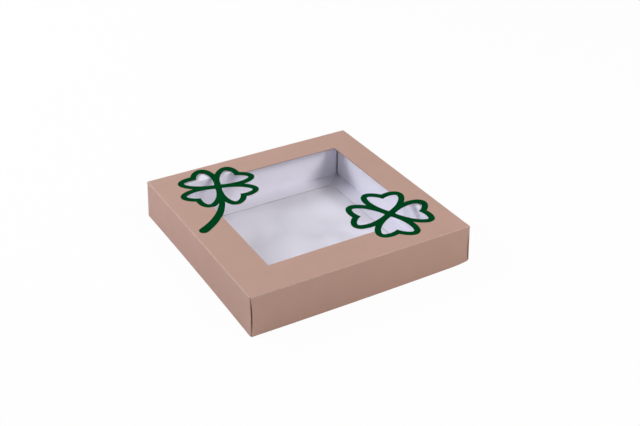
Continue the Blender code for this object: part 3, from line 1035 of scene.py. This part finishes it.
@dataclass
class Tray:
    """The tray: a white blank whose four walls are hollow, with a tab at the foot of each."""

    half_length: float = 0.09145
    half_depth: float = 0.08995
    card: float = 0.00045
    gap: float = 0.0003
    bend: float = 0.0006
    cell: float = 0.0075
    wall_rows: int = 4
    ledge_top: float = 0.03025
    ledge_width: float = 0.0163
    ledge_rows: int = 2
    mitre_gap: float = 0.00025
    corner_slit: float = 0.0008
    end_relief: float = 0.0014
    side_relief: float = 0.0030
    flap_length: float = 0.015
    flap_rows: int = 2
    flap_taper: float = 0.002
    inner_foot: float = 0.00075
    inner_bow: float = 0.00035
    floor_dome: float = 0.00022
    floor_dome_half: float = 0.057
    tab_level: float = 0.0012
    tab_depth: float = 0.0137
    tab_rows: int = 4
    tab_crease_gap: float = 0.0001
    end_tab_setback: float = 0.001
    side_tab_setback: float = 0.0065
    tab_dip: float = 0.00020
    tab_wave: float = 0.021
    tab_wave_swing: float = 1.6
    tab_seed: float = 4.4

    def build(self) -> None:
        """Build the folded tray and its four floor tabs."""
        self.build_blank()
        for side in Side:
            self.build_tab(side)

    def reach(self, side: Side) -> float:
        """Return how far out a side's outer wall stands."""
        return self.half_depth if side.laps else self.half_length

    def run_half(self, side: Side) -> float:
        """Return half of a side's run."""
        return self.half_length if side.laps else self.half_depth

    def shift(self, at: Vector) -> Vector:
        """Return how far a point of the flat tray moves: the floor's dome and the inner walls' bows."""
        moved = UP * (self.floor_dome * dome(at, self.floor_dome_half))
        for side in Side:
            face = self.reach(side) - self.ledge_width
            distance = at.dot(side.out)
            if face - NEAR < distance < face + self.bend + NEAR and at.z > self.inner_foot - NEAR:
                middle = clamped(1 - (at.dot(side.along) / self.run_half(side)) ** 2)
                moved += side.out * self.inner_bow * middle * math.sin(math.pi * at.z / self.ledge_top)
        return moved

    def build_blank(self) -> None:
        """Fold the tray's card: floor, outer walls, ledges, inner walls and corner flaps."""
        blank = FoldedCard()
        flat_length = self.half_length - self.bend
        flat_depth = self.half_depth - self.bend
        bmesh.ops.create_grid(
            blank.shape, x_segments=round(2 * flat_length / self.cell),
            y_segments=round(2 * flat_depth / self.cell), size=1.0,
        )
        bmesh.ops.scale(blank.shape, verts=blank.shape.verts, vec=(flat_length, flat_depth, 1))
        side_half = flat_depth - self.card - self.gap
        blank.cut_across(side_half)
        for side in (Side.RIGHT, Side.LEFT, Side.FRONT, Side.BACK):
            self.fold_side(blank, side, flat_length if side.laps else side_half)
        blank.face_up(self.ledge_top)
        blank.warp(self.shift)
        names = (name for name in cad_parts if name.startswith("tray_"))
        nodes = [name for name in names if not name.endswith("_tab")]
        piece = blank.piece("tray_blank", TRAY_FINISHES, self.card)
        settle(piece, Body.TRAY, nodes)

    def fold_side(self, blank: FoldedCard, side: Side, half: float) -> None:
        """Fold up a hollow wall, whose outer wall runs this far either way, and any corner flaps."""
        bend = self.bend
        edge = self.reach(side) - bend
        face = self.reach(side) - self.ledge_width
        head = self.ledge_top - bend
        inner_end = self.run_half(side) - self.ledge_width
        row = blank.free_edges(side, edge, -half, half)
        row = blank.fold(row, side.out * edge + UP * bend, side.along, -90)
        row = blank.run_in_rows(row, UP * (head - bend), self.wall_rows)
        if not side.laps:
            for hand in HANDS:
                end = blank.fold_end(side, self.reach(side), hand * half, bend, 90)
                step = -side.out * self.flap_length
                blank.run_flap(end, step, self.flap_rows, bend, head, self.flap_taper)
        row = blank.fold(row, side.out * edge + UP * head, side.along, -90)
        end_half = inner_end + bend - self.mitre_gap
        row = blank.run_in_rows(
            row, -side.out * (edge - face - bend), self.ledge_rows,
            lambda made, share: blank.spread(made, side, half + (end_half - half) * share),
        )
        row = blank.fold(row, side.out * (face + bend) + UP * head, side.along, -90)
        inner_half = inner_end - self.corner_slit
        blank.spread(row, side, inner_half)
        row = blank.run_in_rows(row, -UP * (head - self.inner_foot), self.wall_rows)
        corners = [vert for vert in verts_of(row) if abs(vert.co.dot(side.along)) > inner_half - NEAR]
        bmesh.ops.bevel(
            blank.shape, geom=corners, offset=self.end_relief if side.laps else self.side_relief,
            offset_type="OFFSET", segments=1, profile=0.5, affect="VERTICES", material=-1,
        )

    def build_tab(self, side: Side) -> None:
        """Lay the tab at the foot of one inner wall."""
        tab = FoldedCard()
        crease = self.reach(side) - self.ledge_width - self.tab_crease_gap
        setback = self.end_tab_setback if side.laps else self.side_tab_setback
        half = self.run_half(side) - self.ledge_width - setback
        ends = [side.out * crease + side.along * (hand * half) + UP * self.tab_level for hand in HANDS]
        edge = tab.shape.edges.new([tab.shape.verts.new(end) for end in ends])
        bmesh.ops.subdivide_edges(tab.shape, edges=[edge], cuts=round(2 * half / self.cell))
        tab.run_in_rows(
            list(tab.shape.edges), -side.out * self.tab_depth, self.tab_rows,
            lambda made, share: tab.spread(made, side, half - self.tab_depth * share),
        )
        tab.face_up(self.tab_level)
        tab.warp(lambda at: self.tab_shift(at, side, crease))
        piece = tab.piece(f"{side.title}_floor_tab", TRAY_FINISHES, self.card)
        settle(piece, Body(f"{side.title}_tab"), [f"tray_{side.title}_tab"])

    def tab_shift(self, at: Vector, side: Side, crease: float) -> Vector:
        """Return how far a point of a level tab dips towards the floor, away from its crease."""
        share = (crease - at.dot(side.out)) / self.tab_depth
        waves = Ripple(self.tab_wave, self.tab_seed + side.value)
        hold = clamped(0.5 + self.tab_wave_swing * waves.at(at))
        return -UP * (self.tab_dip * share ** 2 * hold)


@dataclass(frozen=True)
class Lamp:
    """A soft square lamp that looks at the box. Its level is what it gives a white surface facing it."""

    name: str
    azimuth: float
    elevation: float
    level: float
    colour: Colour = WHITE
    size: float = 0.5
    distance: float = 1.4

    def hang(self) -> None:
        """Hang the lamp."""
        light = bpy.data.lights.new(self.name, "AREA")
        light.shape = "SQUARE"
        light.size = self.size
        light.energy = self.level * math.pi ** 2 * self.distance ** 2
        light.color = self.colour
        elevation = math.radians(self.elevation)
        turn = Matrix.Rotation(math.radians(self.azimuth), 3, "Z")
        back = turn @ Vector((0, -math.cos(elevation), math.sin(elevation)))
        aim = back.to_track_quat("Z", "Y").to_matrix().to_4x4()
        placed(self.name, light).matrix_world = Matrix.Translation(back * self.distance) @ aim


@dataclass
class Studio:
    """The floor, the lamps, the world's light and the camera."""

    lamps: tuple[Lamp, ...] = (
        Lamp("right_lamp", 40.0, 45.0, 0.430),
        Lamp("front_lamp", 20.0, 30.0, 0.145, WARM),
        Lamp("left_lamp", -110.0, 25.0, 0.245, COOL, 0.6),
        Lamp("left_key", -130.0, 40.0, 0.383, COOL, 0.6),
        Lamp("back_fill", 185.0, 35.0, 0.330, WHITE, 1.0),
    )
    ambient: float = 0.02
    floor_half: float = 4.0
    floor_drop: float = 0.00005
    floor_colour: Colour = (0.86, 0.86, 0.86)
    floor_glow: float = 0.965
    eye: Triple = (-0.33663, -0.61137, 0.44698)
    azimuth: float = -29.934
    elevation: float = 31.323
    lens: float = 58.551
    sensor: float = 36.0
    clip_start: float = 0.01

    def build(self) -> None:
        """Build the studio."""
        self.lay_floor()
        self.light_world()
        for lamp in self.lamps:
            lamp.hang()
        self.set_camera()
        bpy.context.scene.view_settings.view_transform = "Standard"

    def lay_floor(self) -> None:
        """Lay a plain pale floor that looks white from afar and keeps the box's shadow."""
        shape = bmesh.new()
        bmesh.ops.create_grid(shape, x_segments=2, y_segments=2, size=self.floor_half)
        bmesh.ops.translate(shape, verts=shape.verts, vec=-UP * self.floor_drop)
        mesh = bpy.data.meshes.new("studio_floor")
        shape.to_mesh(mesh)
        shape.free()
        paint = Paint("studio_floor_paint")
        paint.finish({"Base Color": self.floor_colour, "Roughness": 0.9, "Specular IOR Level": 0.0})
        paint.show_white("ShaderNodeEmission", paint.shader, self.floor_glow, "Material Output")
        mesh.materials.append(paint.material)
        placed("studio_floor", mesh)

    def light_world(self) -> None:
        """Light the box evenly from all round, before a white background."""
        world = bpy.data.worlds.new("studio_world")
        world.use_nodes = True
        bpy.context.scene.world = world
        nodes = Nodes(world.node_tree)
        ambient = world.node_tree.nodes["Background"]
        nodes.feed(ambient.inputs["Color"], WHITE)
        nodes.feed(ambient.inputs["Strength"], self.ambient)
        nodes.show_white("ShaderNodeBackground", ambient, 1.0, "World Output")

    def set_camera(self) -> None:
        """Set the camera where the photograph was taken from."""
        data = bpy.data.cameras.new("photo_camera")
        data.lens = self.lens
        data.sensor_width = self.sensor
        data.clip_start = self.clip_start
        camera = placed("photo_camera", data)
        turn = Matrix.Rotation(math.radians(self.azimuth), 4, "Z")
        tilt = Matrix.Rotation(math.radians(90 - self.elevation), 4, "X")
        camera.matrix_world = Matrix.Translation(self.eye) @ turn @ tilt
        bpy.context.scene.camera = camera


def main() -> None:
    """Build the lid, the tray and the studio."""
    logging.basicConfig(level=logging.INFO, format="%(message)s")
    Lid().build()
    Tray().build()
    Studio().build()


if __name__ == "__main__":
    main()
